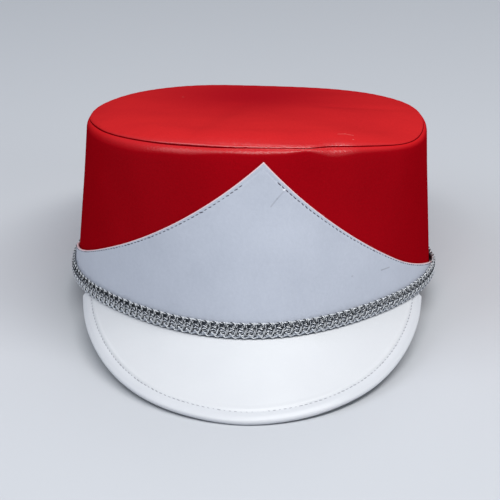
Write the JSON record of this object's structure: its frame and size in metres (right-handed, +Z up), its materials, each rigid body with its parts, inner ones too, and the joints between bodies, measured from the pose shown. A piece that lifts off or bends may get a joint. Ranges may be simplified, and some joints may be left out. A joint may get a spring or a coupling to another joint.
{
  "type": "marching band hat",
  "caption": "Low oval marching band hat: red crown with puffed top, pointed white front panel, silver braid at the base and sloping white visor.",
  "frame": {"origin": "centre of the bounding box on the surface that the hat rests on, as it lies by itself on its visor and its back rim", "axes": "-Y towards the visor, +X towards the right of someone facing the hat's front, +Z up"},
  "size_m": [0.1788, 0.2456, 0.1087],
  "materials": {
    "crown_vinyl": "satin red vinyl with a fine grain",
    "top_vinyl": "satin bright red vinyl with a fine grain",
    "panel_vinyl": "smooth satin white vinyl",
    "metallic_braid": "woven silver thread with a metallic lustre",
    "visor_vinyl": "smooth glossy white vinyl"
  },
  "bodies": {
    "root": {"crown_wall": "crown_vinyl", "crown_top": "top_vinyl", "front_panel": "panel_vinyl", "trim_braid": "metallic_braid", "visor": "visor_vinyl"}
  },
  "joints": []
}
